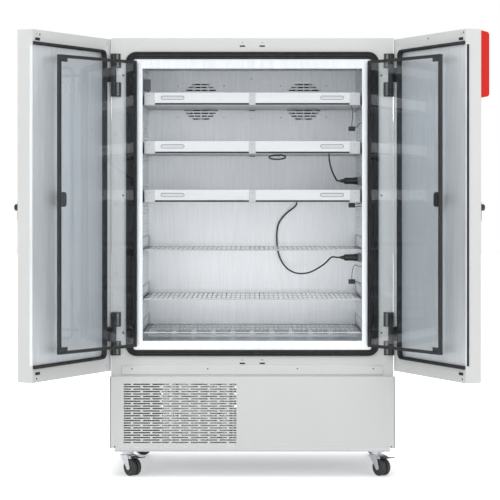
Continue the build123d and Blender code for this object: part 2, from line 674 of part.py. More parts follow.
def sensor_leads():
    """Thin leads between the top tray, the small connectors and the right wall."""
    x, y, wall = CONNECTOR_X, CONNECTOR_Y, WALL_X
    side, top = x + CONNECTOR_SIZE[0] / 2, CONNECTOR_SIZE[2] / 2
    high, middle, low = CONNECTOR_LEVELS
    tray = CASSETTE_LEVELS[0] + CASSETTE_RECESS
    routes = (
        [(x - 1, y, tray), (x - 1, y, tray - 9), (x + 6, y, tray - 26), (x, y, high + top + 14),
         (x, y, high + top)],
        [(wall, y, tray - 12), (wall - 9, y, tray - 12), (wall - 24, y + 2, tray - 20), (x + 9, y + 3, tray - 31)],
        [(side, y, high + 4), (side + 8, y, high + 4), (wall - 9, y, high + 26), (wall, y, high + 26)],
        [(side, y, middle + 5), (side + 9, y, middle + 5), (wall - 9, y + 4, middle + 8), (wall, y + 4, middle + 8)],
        [(side, y, middle - 6), (side + 9, y, middle - 6), (wall - 9, y + 4, middle - 4), (wall, y + 4, middle - 4)],
        [(x, y, low + top), (x, y, low + top + 22), (x + 6, y, low + top + 56), (x + 15, y + 2, low + top + 66),
         (x + 29, y, low + top + 56), (wall, y, low + top + 56)],
        [(side, y, low), (side + 8, y, low), (wall - 8, y, low - 7), (wall, y, low - 7)],
    )
    return Compound([cable(route, LEAD_RADIUS) for route in routes])


def access_port():
    """Lined tube through the left wall, with a flange inside and outside."""
    tube = rod_x(PORT_BORE + PORT_WALL, -HALF, -WALL_X, PORT_Y, PORT_Z)
    tube += rod_x(PORT_FLANGE, -HALF - PORT_FLANGE_THICKNESS, -HALF, PORT_Y, PORT_Z)
    tube += rod_x(PORT_FLANGE, -WALL_X, -WALL_X + PORT_FLANGE_THICKNESS, PORT_Y, PORT_Z)
    return tube - rod_x(PORT_BORE, -HALF - 5, -WALL_X + 5, PORT_Y, PORT_Z)


def hinge_levels():
    return (HINGE_UPPER_Z, HINGE_LOWER_Z)


def left_hinge_blocks():
    """Two barrelled blocks on the flange for each hinge, joined by the pin."""
    x, y = -DOOR_AXIS_X, DOOR_AXIS_Y
    blocks = []
    for z in hinge_levels():
        inner = HINGE_KNUCKLE / 2 + HINGE_GAP
        for z0, z1 in ((z - inner - HINGE_BLOCK_HEIGHT, z - inner), (z + inner, z + inner + HINGE_BLOCK_HEIGHT)):
            body = block(x - 14, x - 14 + HINGE_BLOCK_WIDTH, -7, 0, z0, z1)
            body += block(x - 7, x + 7, y, 0, z0, z1)
            body += rod_z(HINGE_BARREL, z0, z1, x, y)
            blocks.append(body - rod_z(HINGE_PIN + 0.02, z0 - 1, z1 + 1, x, y))
        blocks.append(rod_z(HINGE_PIN, z - inner - 40, z + inner + 40, x, y))
    return blocks


def door_hinge_blocks():
    left = left_hinge_blocks()
    return Compound(left + [mirrored(piece) for piece in left])


def glass_hinge_brackets():
    """Small blocks beside the gasket that hold the glass doors' pivots."""
    x, y = -GLASS_AXIS_X, GLASS_AXIS_Y
    left = []
    for z in (GLASS_HINGE_UPPER_Z, GLASS_HINGE_LOWER_Z):
        inner = GLASS_KNUCKLE / 2 + 0.5
        outer = GLASS_HINGE_HEIGHT / 2
        for z0, z1 in ((z - outer, z - inner), (z + inner, z + outer)):
            body = block(x - 7, x + GLASS_BARREL, y, 0, z0, z1)
            body += rod_z(GLASS_BARREL, z0, z1, x, y)
            left.append(body - rod_z(GLASS_PIN + 0.02, z0 - 1, z1 + 1, x, y))
        left.append(rod_z(GLASS_PIN, z - outer, z + outer, x, y))
    return Compound(left + [mirrored(piece) for piece in left])


def caster_places():
    return {"front_left": (-CASTER_X, CASTER_FRONT_Y), "front_right": (CASTER_X, CASTER_FRONT_Y),
            "rear_left": (-CASTER_X, CASTER_REAR_Y), "rear_right": (CASTER_X, CASTER_REAR_Y)}


def caster_stems():
    """Mounting plate, bearing housing and king pin of each caster."""
    plate_bottom = CASTER_HEIGHT - 4
    stems = []
    for x, y in caster_places().values():
        stem = block(x - 32, x + 32, y - 32, y + 32, plate_bottom, CASTER_HEIGHT)
        stem += rod_z(25, 91, plate_bottom, x, y)
        stem += rod_z(6, 82, 92, x, y) + rod_z(9, 80, 85.6, x, y)
        stems.append(stem)
    return Compound(stems)


def caster_fork(place, braked):
    """Crown on the king pin, two legs and the axle; drawn trailing along +X."""
    half = WHEEL_WIDTH / 2
    crown = block(-25, 27, -half - 4, half + 4, 86, 90.5)
    crown = fillet(crown.edges().filter_by(Axis.Z), 8)
    crown -= rod_z(6 + PIN_CLEARANCE, 80, 95, 0, 0)
    leg = make_face(Polyline((-22, 88), (27, 88), (CASTER_TRAIL + 10, WHEEL_RADIUS),
                             (CASTER_TRAIL - 10, WHEEL_RADIUS - 2), close=True))
    leg += Pos(CASTER_TRAIL, WHEEL_RADIUS) * Circle(11)
    fork = crown + plate(leg, -half - 4, -half - 1) + plate(leg, half + 1, half + 4)
    fork += rod_y(5, -half - 4, half + 4, CASTER_TRAIL, WHEEL_RADIUS)
    if braked:
        for y in (-half - 1, half - 2):
            fork += block(24, BRAKE_PIVOT_X + 4, y, y + 3, BRAKE_PIVOT_Z - 6, BRAKE_PIVOT_Z + 5)
        fork += rod_y(BRAKE_PIN, -half, half, BRAKE_PIVOT_X, BRAKE_PIVOT_Z)
    return placed_caster(fork, place)


def caster_wheel(place):
    """Two tyred discs with a spacer between them."""
    half = WHEEL_WIDTH / 2
    r = WHEEL_RADIUS
    tyre = [(5 + PIN_CLEARANCE, 4), (r - 2, 4), (r, 7), (r, half - 4), (r - 4, half - 0.5), (12, half - 0.5),
            (12, half), (5 + PIN_CLEARANCE, half)]
    hub = [(5 + PIN_CLEARANCE, -4), (14, -4), (14, 4), (5 + PIN_CLEARANCE, 4)]
    side = turned(tyre)
    wheel = Compound([side, mirror(side, about=Plane.XY), turned(hub)])
    return placed_caster(Pos(CASTER_TRAIL, 0, r) * Rot(90, 0, 0) * wheel, place)


def caster_brake(place):
    """Foot lever on the fork of a front caster."""
    x, z = BRAKE_PIVOT_X, BRAKE_PIVOT_Z
    profile = make_face(Polyline((x - 4, z - 4), (x + 34, z - 3), (x + 62, z + 3), (x + 61, z + 6.5),
                                 (x + 32, z + 1), (x + 4, z + 4), (x - 4, z + 4), close=True))
    lever = plate(profile, -15, 15) - rod_y(BRAKE_PIN + PIN_CLEARANCE, -20, 20, x, z)
    return placed_caster(lever, place)


def placed_caster(shape, place):
    x, y = caster_places()[place]
    return Pos(x, y, 0) * Rot(0, 0, CASTER_TURN[place]) * shape


def door_skin():
    """Painted outer tray of the left door, closed, with the steel panel's window."""
    skin = block(-DOOR_X, -DOOR_EDGE, DOOR_OUTER_Y, DOOR_INNER_Y, DOOR_BOTTOM, DOOR_TOP)
    skin -= block(-DOOR_X + DOOR_SHEET, -DOOR_EDGE - DOOR_SHEET, DOOR_OUTER_Y + DOOR_SHEET,
                  DOOR_INNER_Y - DOOR_SHEET, DOOR_BOTTOM + DOOR_SHEET, DOOR_TOP - DOOR_SHEET)
    low, high = panel_levels()
    skin -= block(panel_left(), -DOOR_EDGE + 1, DOOR_INNER_Y - DOOR_SHEET, DOOR_INNER_Y + 1, low, high)
    skin -= block(-DOOR_EDGE - DOOR_SHEET, -DOOR_EDGE + 1, DOOR_INNER_Y - DOOR_WRAP, DOOR_INNER_Y + 1, low, high)
    for z in (DOOR_TOP - LATCH_DROP, DOOR_BOTTOM + LATCH_RISE):
        skin -= block(-LATCH_X - LATCH_SLOT / 2, -LATCH_X + LATCH_SLOT / 2, DOOR_INNER_Y - DOOR_SHEET - 1,
                      DOOR_INNER_Y + 1, z - LATCH_OPENING / 2, z + LATCH_OPENING / 2)
    return skin


def panel_left():
    return -DOOR_SEAL_X + DOOR_SEAL_WIDTH


def panel_levels():
    return DOOR_SEAL_LOW + DOOR_SEAL_WIDTH, DOOR_SEAL_HIGH - DOOR_SEAL_WIDTH


def door_panel():
    """Steel inner sheet that turns round the free edge."""
    low, high = panel_levels()
    sheet = block(panel_left(), -DOOR_EDGE, DOOR_INNER_Y - DOOR_SHEET, DOOR_INNER_Y, low, high)
    return sheet + block(-DOOR_EDGE - DOOR_SHEET, -DOOR_EDGE, DOOR_INNER_Y - DOOR_WRAP, DOOR_INNER_Y, low, high)


def door_gasket():
    """Three-sided seal of the left door that closes on the frame gasket's outer rib."""
    tip = -SEAL_HEIGHT - 0.5
    width = DOOR_SEAL_WIDTH
    def band(inset, y0, y1):
        end = -DOOR_EDGE - 3
        outer = face(-DOOR_SEAL_X + inset, DOOR_SEAL_X, DOOR_SEAL_LOW + inset, DOOR_SEAL_HIGH - inset,
                     DOOR_SEAL_RADIUS - inset)
        inner = face(-DOOR_SEAL_X + width - inset, DOOR_SEAL_X, DOOR_SEAL_LOW + width - inset,
                     DOOR_SEAL_HIGH - width + inset, DOOR_SEAL_RADIUS - width + inset)
        ring = outer - inner
        return plate(ring & face(-DOOR_SEAL_X, end, DOOR_SEAL_LOW, DOOR_SEAL_HIGH), y0, y1)
    return band(0, DOOR_INNER_Y, DOOR_INNER_Y + 10) + band(2.5, DOOR_INNER_Y + 10, tip)


def door_fittings():
    """Hinge knuckles and their arms on the left door, and the handle's base."""
    x, y = -DOOR_AXIS_X, DOOR_AXIS_Y
    pieces = []
    for z in hinge_levels():
        z0, z1 = z - HINGE_KNUCKLE / 2, z + HINGE_KNUCKLE / 2
        arm = rod_z(HINGE_BARREL, z0, z1, x, y)
        arm += block(x + 2, x + 11, DOOR_INNER_Y, y, z0, z1)
        arm += block(x + 2, x + 26, DOOR_INNER_Y, DOOR_INNER_Y + 4, z0, z1)
        pieces.append(arm - rod_z(HINGE_PIN + PIN_CLEARANCE, z0 - 1, z1 + 1, x, y))
    base = block(-66, -14, DOOR_OUTER_Y - 9, DOOR_OUTER_Y, HANDLE_Z - 62, HANDLE_Z + 28)
    base = fillet(base.edges().filter_by(Axis.Y), 12)
    base += rod_y(15, DOOR_OUTER_Y - 16, DOOR_OUTER_Y - 9, HANDLE_X, HANDLE_Z)
    pieces.append(base + rod_y(6, DOOR_OUTER_Y - 30, DOOR_OUTER_Y - 16, HANDLE_X, HANDLE_Z))
    return Compound(pieces)


def handle_lever():
    """Turning grip of the left door."""
    grip = SlotCenterToCenter(110, 24)
    body = plate(Pos(HANDLE_X - 55, HANDLE_Z) * grip, DOOR_OUTER_Y - 33, DOOR_OUTER_Y - 19)
    body += rod_y(14, DOOR_OUTER_Y - 33, DOOR_OUTER_Y - 16.4, HANDLE_X, HANDLE_Z)
    return body - rod_y(6 + PIN_CLEARANCE, DOOR_OUTER_Y - 30.4, DOOR_OUTER_Y, HANDLE_X, HANDLE_Z)


def centre_seal():
    """Lip on the right door's free edge, drawn on the left door and mirrored with it."""
    low, high = panel_levels()
    y = DOOR_INNER_Y
    return block(-DOOR_EDGE, DOOR_EDGE - 0.4, y - DOOR_WRAP, y - 5, low, high)


def controller_housing():
    """Red housing of the display on the right door, tapered at both ends."""
    y0, y1 = DOOR_OUTER_Y - 42, DOOR_OUTER_Y
    z0, z1 = DOOR_TOP - 283, DOOR_TOP - 3
    profile = make_face(Polyline((y1, z0), (y0 + 6, z0 + 7), (y0, z0 + 15), (y0, z1 - 15), (y0 + 6, z1 - 7),
                                 (y1, z1), close=True))
    body = Pos(6, 0, 0) * extrude(Plane.YZ * profile, amount=250)
    return body - block(24, 238, y0 - 1, y0 + 4, z0 + 30, z1 - 30)


def controller_screen():
    y0 = DOOR_OUTER_Y - 42
    return block(24, 238, y0 + 0.5, y0 + 4, DOOR_TOP - 253, DOOR_TOP - 33)


def glass_frame():
    """Frame of the left glass door, its hinge knuckles and the grip pad."""
    x0, x1 = -GLASS_DOOR_WIDTH - GLASS_MEETING_GAP / 2, -GLASS_MEETING_GAP / 2
    z0, z1 = GLASS_DOOR_LOW, GLASS_DOOR_HIGH
    depth, width = GLASS_FRAME_DEPTH, GLASS_FRAME_WIDTH
    gap = RUNNING_GAP
    frame = face(x0, x1, z0, z1, 3) - face(x0 + width, x1 - width, z0 + width, z1 - width)
    body = plate(frame, -depth, -gap)
    groove = face(x0 + width - 6, x1 - width + 6, z0 + width - 6, z1 - width + 6)
    body -= plate(groove, -depth / 2 - GLASS_PANE / 2, -depth / 2 + GLASS_PANE / 2)
    x, y = -GLASS_AXIS_X, GLASS_AXIS_Y
    for z in (GLASS_HINGE_UPPER_Z, GLASS_HINGE_LOWER_Z):
        low, high = z - GLASS_KNUCKLE / 2, z + GLASS_KNUCKLE / 2
        arm = rod_z(GLASS_BARREL, low, high, x, y) + block(x, x0 + 24, y - GLASS_BARREL, -depth, low, high)
        body += arm - rod_z(GLASS_PIN + PIN_CLEARANCE, low - 1, high + 1, x, y)
    pane_front = -depth / 2 - GLASS_PANE / 2
    grip = face(x1 - width - 40, x1 - width, HANDLE_Z + 2, HANDLE_Z + 64, 14)
    body += plate(grip, -depth - 9, pane_front)
    for z in (z0 + width, z1 - width - 16):
        body += block(x1 - width - 46, x1 - width, -depth, pane_front, z, z + 16)
    return body


def glass_pane():
    """Clear pane held in the frame's groove."""
    x0, x1 = -GLASS_DOOR_WIDTH - GLASS_MEETING_GAP / 2, -GLASS_MEETING_GAP / 2
    inset = GLASS_FRAME_WIDTH - 6
    pane = face(x0 + inset, x1 - inset, GLASS_DOOR_LOW + inset, GLASS_DOOR_HIGH - inset)
    return plate(pane, -GLASS_FRAME_DEPTH / 2 - GLASS_PANE / 2, -GLASS_FRAME_DEPTH / 2 + GLASS_PANE / 2)


def left_door(shape):
    return swung(shape, -DOOR_AXIS_X, DOOR_AXIS_Y, -LEFT_DOOR_OPEN)


def right_door(shape):
    return swung(shape, DOOR_AXIS_X, DOOR_AXIS_Y, RIGHT_DOOR_OPEN)


def left_glass(shape):
    return swung(shape, -GLASS_AXIS_X, GLASS_AXIS_Y, -LEFT_GLASS_OPEN)


def right_glass(shape):
    return swung(shape, GLASS_AXIS_X, GLASS_AXIS_Y, RIGHT_GLASS_OPEN)


def origin_shift(nodes):
    """How far back the model moves, so that the origin is below its middle."""
    ends = [value for shape in nodes.values()
            for value in (shape.bounding_box().min.Y, shape.bounding_box().max.Y)]
    return -(min(ends) + max(ends)) / 2


def build():
    nodes = {
        "outer_casing": outer_casing(),
        "back_panel": back_panel(),
        "front_frame": front_frame(),
        "insulation": insulation(),
        "chamber_liner": chamber_liner(),
        "frame_gasket": frame_gasket(),
        "rear_baffle": rear_baffle(),
        "fan_grilles": fan_grilles(),
        "fan_motors": fan_motors(),
        "heat_exchangers": heat_exchangers(),
        "compressor": compressor(),
        "base_chassis": base_chassis(),
        "lower_front_cover": lower_front_cover(),
        "gutter_cover": gutter_cover(),
        "light_cassettes": light_cassettes(),
        "cassette_diffusers": cassette_diffusers(),
        "shelf_carriers": shelf_carriers(),
        "wall_fittings": wall_fittings(),
        "cable_plugs": cable_plugs(),
        "upper_light_cable": upper_light_cable(),
        "lower_light_cable": lower_light_cable(),
        "spare_cable_loop": spare_cable_loop(),
        "sensor_leads": sensor_leads(),
        "access_port": access_port(),
        "door_hinge_blocks": door_hinge_blocks(),
        "glass_hinge_brackets": glass_hinge_brackets(),
        "caster_stems": caster_stems(),
        "circulation_fan_left": circulation_fan(-FAN_X),
        "circulation_fan_right": circulation_fan(FAN_X),
        "condenser_fan": condenser_fan(),
    }
    for name, level in zip(SHELF_NAMES, SHELF_LEVELS):
        nodes["shelf_" + name] = shelf(level)
    closed = {"door_skin": door_skin(), "door_panel": door_panel(), "door_gasket": door_gasket(),
              "door_fittings": door_fittings(), "handle_lever": handle_lever()}
    for name, shape in closed.items():
        nodes["left_" + name] = left_door(shape)
        nodes["right_" + name] = right_door(mirrored(shape))
    nodes["right_centre_seal"] = right_door(mirrored(centre_seal()))
    nodes["controller_housing"] = right_door(controller_housing())
    nodes["controller_screen"] = right_door(controller_screen())
    for name, shape in {"glass_frame": glass_frame(), "glass_pane": glass_pane()}.items():
        nodes["left_" + name] = left_glass(shape)
        nodes["right_" + name] = right_glass(mirrored(shape))
    for place in caster_places():
        braked = place.startswith("front")
        nodes["caster_fork_" + place] = caster_fork(place, braked)
        nodes["caster_wheel_" + place] = caster_wheel(place)
        if braked:
            nodes["caster_brake_" + place] = caster_brake(place)
    return nodes


def main():
    os.makedirs("parts", exist_ok=True)
    nodes = build()
    shift = origin_shift(nodes)
    print("nodes", len(nodes), "origin shift", shift)
    for name, shape in nodes.items():
        export_step(Pos(0, shift, 0) * shape, "parts/" + name + ".step")


if __name__ == "__main__":
    main()
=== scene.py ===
import bmesh
import bpy
import json
import math
from mathutils import Matrix, Vector

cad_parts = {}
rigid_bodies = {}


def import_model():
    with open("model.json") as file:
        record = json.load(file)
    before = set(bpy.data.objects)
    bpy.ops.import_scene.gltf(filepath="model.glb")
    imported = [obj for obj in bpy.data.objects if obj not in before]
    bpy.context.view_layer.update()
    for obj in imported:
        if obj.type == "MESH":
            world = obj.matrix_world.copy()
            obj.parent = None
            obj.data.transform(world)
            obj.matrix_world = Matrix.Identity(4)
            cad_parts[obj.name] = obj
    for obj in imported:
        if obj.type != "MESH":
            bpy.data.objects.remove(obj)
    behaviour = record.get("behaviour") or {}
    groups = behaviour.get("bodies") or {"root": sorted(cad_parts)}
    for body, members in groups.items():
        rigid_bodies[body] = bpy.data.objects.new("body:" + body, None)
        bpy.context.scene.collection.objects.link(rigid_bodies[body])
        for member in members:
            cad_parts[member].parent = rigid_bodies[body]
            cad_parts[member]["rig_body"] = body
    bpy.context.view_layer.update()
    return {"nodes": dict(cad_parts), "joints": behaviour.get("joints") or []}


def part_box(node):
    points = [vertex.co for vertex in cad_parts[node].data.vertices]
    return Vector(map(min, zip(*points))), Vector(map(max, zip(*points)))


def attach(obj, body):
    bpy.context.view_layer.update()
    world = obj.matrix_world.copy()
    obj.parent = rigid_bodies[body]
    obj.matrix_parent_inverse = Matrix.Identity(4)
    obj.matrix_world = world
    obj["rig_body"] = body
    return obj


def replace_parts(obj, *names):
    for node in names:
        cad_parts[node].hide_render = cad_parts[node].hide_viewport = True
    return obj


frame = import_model()
scene = bpy.context.scene
scene.view_settings.view_transform = "Standard"

# The view: a long lens 8.5 m in front of the flange and 1.25 m above the floor, so that
# the cabinet's sides stay out of sight while the open doors are seen from inside.
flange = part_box("front_frame")[0].y
VIEW_DISTANCE, VIEW_HEIGHT = 8.5, 1.25
lens = bpy.data.cameras.new("camera")
lens.lens = 139.4
lens.shift_x = -0.0046
lens.shift_y = -0.116
lens.clip_end = 80
camera = bpy.data.objects.new("camera", lens)
camera.location = (0, flange - VIEW_DISTANCE, VIEW_HEIGHT)
camera.rotation_euler = (math.radians(90), 0, 0)
scene.collection.objects.link(camera)
scene.camera = camera


# Black rubber: the flex, the seals and the tyres. It is matt, a little dusty in its
# hollows, and has a fine moulded grain.
class Socket:
    """A shader socket on which Python's operators add Math nodes."""

    def __init__(self, tree, output):
        self.tree = tree
        self.output = output

    def node(self, kind, settings, inputs, out=0):
        made = self.tree.nodes.new(kind)
        for key, value in settings.items():
            if key == "stops":
                ramp = made.color_ramp.elements
                while len(ramp) < len(value):
                    ramp.new(0.5)
                for stop, (place, colour) in zip(ramp, value):
                    stop.position = place
                    stop.color = (*colour, 1)
            else:
                setattr(made, key, value)
        for key, value in inputs.items():
            feed(self.tree, value, made.inputs[key])
        return Socket(self.tree, made.outputs[out])

    def math(self, operation, first, second=0.0):
        return self.node("ShaderNodeMath", {"operation": operation}, {0: first, 1: second})

    def __add__(self, other):
        return self.math("ADD", self, other)

    def __sub__(self, other):
        return self.math("SUBTRACT", self, other)

    def __rsub__(self, other):
        return self.math("SUBTRACT", other, self)

    def __mul__(self, other):
        return self.math("MULTIPLY", self, other)

    __radd__ = __add__
    __rmul__ = __mul__

    def mix(self, first, second):
        """From the first colour to the second as this value goes from 0 to 1."""
        # A Mix node's colours are its inputs 6 and 7 and its output 2.
        return self.node("ShaderNodeMix", {"data_type": "RGBA"},
                         {0: self, 6: first, 7: second}, out=2)

    def noise(self, scale, detail=3.0, stretch=(1, 1, 1), roughness=0.5):
        place = self.node("ShaderNodeMapping", {}, {"Vector": self, "Scale": stretch})
        values = {"Vector": place, "Scale": scale, "Detail": detail, "Roughness": roughness}
        return place.node("ShaderNodeTexNoise", {}, values)

    def band(self, low, high):
        """0 below low, 1 above high, smooth between."""
        return self.node("ShaderNodeMapRange", {"interpolation_type": "SMOOTHSTEP"},
                         {"Value": self, "From Min": low, "From Max": high})

    def axis(self, name):
        return self.node("ShaderNodeSeparateXYZ", {}, {"Vector": self}, out=name)

    def size(self):
        """The value without its sign."""
        return self.math("ABSOLUTE", self)


def feed(tree, value, socket):
    if isinstance(value, Socket):
        tree.links.new(value.output, socket)
    elif socket.type == "RGBA" and len(value) == 3:
        socket.default_value = (*value, 1)
    else:
        socket.default_value = value


class Finish:
    """A material whose Principled shader takes values and sockets by name."""

    def __init__(self, name):
        self.material = bpy.data.materials.new(name)
        self.material.use_nodes = True
        self.tree = self.material.node_tree
        self.shader = self.tree.nodes["Principled BSDF"]
        coordinates = self.tree.nodes.new("ShaderNodeTexCoord")
        self.where = Socket(self.tree, coordinates.outputs["Object"])

    def lay(self, **values):
        for name, value in values.items():
            feed(self.tree, value, self.shader.inputs[name.replace("_", " ")])
        return self

    def bump(self, height, strength, distance):
        values = {"Height": height, "Strength": strength, "Distance": distance}
        return self.lay(Normal=self.where.node("ShaderNodeBump", {}, values))


def tinted(colour, gain, lift=0.0):
    """The colour made lighter or darker, with no part above 1."""
    return tuple(min(c * gain + lift, 1) for c in colour)


def black_rubber(name, colour, roughness, grain):
    made = Finish(name)
    dust = made.where.noise(26, 4).band(0.45, 0.8)
    made.lay(Base_Color=dust.mix(colour, tinted(colour, 1.9, 0.012)),
             Roughness=made.where.noise(grain, 3) * 0.16 + roughness)
    return made.bump(made.where.noise(grain, 4), 0.35, 0.00035).material


flex_rubber = black_rubber("flex rubber", (0.012, 0.012, 0.013), 0.42, 700)
seal_rubber = black_rubber("seal rubber", (0.006, 0.0065, 0.007), 0.6, 500)
tyre_rubber = black_rubber("tyre rubber", (0.03, 0.031, 0.033), 0.55, 380)


# The lamp leads, their spare loop and the small sensor leads: round black flex that
# hangs between the lamp trays and the sockets on the chamber's right wall.
def at(x, y, z):
    """A place given in millimetres from the flange's middle line and the floor."""
    return Vector((x / 1000, y / 1000 + flange, z / 1000))


def flex(name, points, diameter):
    """A round flex through points in millimetres, its diameter in metres."""
    data = bpy.data.curves.new(name, "CURVE")
    data.dimensions = "3D"
    spline = data.splines.new("NURBS")
    spline.points.add(len(points) - 1)
    for place, point in zip(spline.points, points):
        place.co = (*at(*point), 1)
    spline.order_u = 3
    spline.use_endpoint_u = True
    data.resolution_u = 10
    data.bevel_depth = diameter / 2
    data.bevel_resolution = 5
    data.use_fill_caps = True
    data.materials.append(flex_rubber)
    made = bpy.data.objects.new(name, data)
    scene.collection.objects.link(made)
    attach(made, "cabinet")
    return made


LAMP_FLEX, LEAD_FLEX, LOOP_FLEX = 0.007, 0.003, 0.0044
upper_route = [(339, 55.5, 1419.5), (339, 55.5, 1403.5), (343, 75.5, 1379.5), (351, 113.5, 1353.5),
               (364, 161.5, 1325.5), (378, 202, 1306), (381, 220, 1300), (395, 220, 1300)]
lower_route = [(209, 575, 1205), (209, 575, 1193), (196, 580, 1177), (165, 591, 1155), (140, 597, 1129),
               (122, 597, 1101), (115, 597, 1063), (115, 597, 1021), (118, 597, 983), (126, 589, 949),
               (142, 563, 915), (166, 525, 889), (196, 477, 875), (232, 419, 873), (268, 361, 883),
               (301, 311, 904), (332, 263, 928), (357, 227, 960), (379, 200, 956), (395, 200, 956)]
upper_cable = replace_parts(flex("lamp_cable_upper", upper_route, LAMP_FLEX), "upper_light_cable")
lower_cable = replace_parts(flex("lamp_cable_lower", lower_route, LAMP_FLEX), "lower_light_cable")

LOOP_RADIUS = 38.0
LOOP_TURNS = 2
LOOP_STEPS = 15        # points in each turn
LOOP_START = math.radians(70)
LOOP_TILT = math.radians(16)
LOOP_HEIGHT = 5.2      # from the first turn to the last
loop_low, loop_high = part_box("spare_cable_loop")
loop_centre = ((loop_low + loop_high) / 2 - Vector((0, flange, 0))) * 1000
loop_route = []
for step in range(LOOP_STEPS * LOOP_TURNS + 1):
    turn = LOOP_START + 2 * math.pi * step / LOOP_STEPS
    across = LOOP_RADIUS * math.sin(turn)
    up = (step / (LOOP_STEPS * LOOP_TURNS) - 0.5) * LOOP_HEIGHT
    loop_route.append((loop_centre.x + LOOP_RADIUS * math.cos(turn),
                       loop_centre.y + across * math.cos(LOOP_TILT) - up * math.sin(LOOP_TILT),
                       loop_centre.z + across * math.sin(LOOP_TILT) + up * math.cos(LOOP_TILT)))
spare_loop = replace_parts(flex("lamp_cable_spare", loop_route, LOOP_FLEX), "spare_cable_loop")

lead_routes = {
    "tray": [(442, 120, 1635), (442, 120, 1626), (449, 120, 1609), (443, 120, 1555.75),
             (443, 120, 1541.75)],
    "branch": [(486.5, 120, 1623), (477.5, 120, 1623), (462.5, 122, 1615), (452, 123, 1604)],
    "top": [(457.75, 120, 1535.5), (465.75, 120, 1535.5), (477.5, 120, 1557.5), (486.5, 120, 1557.5)],
    "middle": [(457.75, 120, 1196), (466.75, 120, 1196), (477.5, 124, 1199), (486.5, 124, 1199)],
    "middle_low": [(457.75, 120, 1185), (466.75, 120, 1185), (477.5, 124, 1187), (486.5, 124, 1187)],
    "arch": [(443, 120, 861.75), (443, 120, 883.75), (449, 120, 917.75), (458, 122, 927.75),
             (472, 120, 917.75), (486.5, 120, 917.75)],
    "low": [(457.75, 120, 851.5), (465.75, 120, 851.5), (478.5, 120, 844.5), (486.5, 120, 844.5)],
}
leads = {name: flex("sensor_lead_" + name, route, LEAD_FLEX) for name, route in lead_routes.items()}
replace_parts(leads["tray"], "sensor_leads")


# The plugs and connectors: black moulded plastic with a fine spark grain, a little
# lighter where it is rubbed, pressed on to the flex. Grips and hinges are made of it too.
def moulded_plastic(name, colour, roughness):
    made = Finish(name)
    worn = made.where.noise(14, 5).band(0.5, 0.85)
    made.lay(Base_Color=worn.mix(colour, tinted(colour, 1.5, 0.01)),
             Roughness=made.where.noise(90, 3) * 0.14 + roughness)
    return made.bump(made.where.noise(1500, 2), 0.22, 0.0002).material


black_plastic = moulded_plastic("black moulded plastic", (0.013, 0.013, 0.014), 0.36)
grey_plastic = moulded_plastic("grey moulded plastic", (0.2, 0.21, 0.22), 0.45)
pale_plastic = moulded_plastic("pale fan plastic", (0.62, 0.63, 0.62), 0.45)


def merged(node, keep=None, whole=True):
    """A welded copy of a CAD node's mesh, or of the part that keep picks by its points.

    Where whole is set, each flat side becomes one face again.
    """
    bm = bmesh.new()
    bm.from_mesh(frame["nodes"][node].data)
    bmesh.ops.remove_doubles(bm, verts=bm.verts, dist=0.00002)
    if keep:
        away = [v for v in bm.verts if not keep(v.co)]
        bmesh.ops.delete(bm, geom=away, context="VERTS")
    if whole:
        bmesh.ops.dissolve_limit(bm, angle_limit=math.radians(1), verts=bm.verts, edges=bm.edges)
    return bm


def dressed(name, node, finish, edge=0.0, crease=32, keep=None, whole=True):
    """The CAD node's own shape with welded, softened edges and a finish."""
    bm = merged(node, keep, whole)
    data = bpy.data.meshes.new(name)
    bm.to_mesh(data)
    bm.free()
    return fitted(name, data, finish, frame["nodes"][node]["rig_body"], edge, crease, [node])


def fitted(name, data, finish, body, edge=0.0, crease=32, nodes=()):
    """A mesh as a piece: smooth between its creases, softened, riding on its body."""
    data.shade_smooth()
    data.set_sharp_from_angle(angle=math.radians(crease))
    if finish:
        data.materials.clear()
        data.materials.append(finish)
    made = bpy.data.objects.new(name, data)
    scene.collection.objects.link(made)
    if edge:
        bevel = made.modifiers.new("edge", "BEVEL")
        bevel.width = edge
        bevel.segments = 2
        bevel.limit_method = "ANGLE"
        bevel.angle_limit = math.radians(crease)
        bevel.harden_normals = True
    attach(made, body)
    if nodes:
        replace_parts(made, *nodes)
    return made


def between(axis, low, high):
    """Picks the points between two places on an axis, in millimetres."""
    return lambda co: low < co[axis] * 1000 < high


def plug(name, low, high, edge):
    """The part of the plugs between two heights, as a piece of its own."""
    return dressed(name, "cable_plugs", black_plastic, edge, 40,
                   between(2, low, high))


plug_upper = plug("plug_upper", 1270, 1330, 0.0006)
plug_lower = plug("plug_lower", 930, 980, 0.0006)
connectors = {name: plug("connector_" + name, level - 15, level + 15, 0.0012)
              for name, level in (("top", 1531.5), ("middle", 1191), ("low", 851.5))}
at(*upper_route[0])
at(*lower_route[0])
at(*loop_route[0])
# Each small lead's length in metres, what its far end is, and the connectors it carries.
lead_facts = {
    "tray": (0.095, "connector", ["top"]),
    "branch": (0.041, "object", []),
    "top": (0.040, "object", []),
    "middle": (0.030, "object", ["middle"]),
    "middle_low": (0.030, "object", []),
    "arch": (0.098, "object", ["low"]),
    "low": (0.030, "object", []),
}
for name, (length, end, held) in lead_facts.items():
    at(*lead_routes[name][0])


# Painted sheet steel: the wrap, the front flange, the lower cover and the doors.
# White powder coat with faint orange peel, satin, hardly worn.
def powder_coat(name, colour, roughness=0.42):
    made = Finish(name)
    cloud = made.where.noise(1.7, 3).band(0.3, 0.75)
    made.lay(Base_Color=cloud.mix(colour, tinted(colour, 0.965)),
             Roughness=made.where.noise(45, 3) * 0.12 + roughness - 0.06)
    return made.bump(made.where.noise(520, 2), 0.08, 0.0002).material


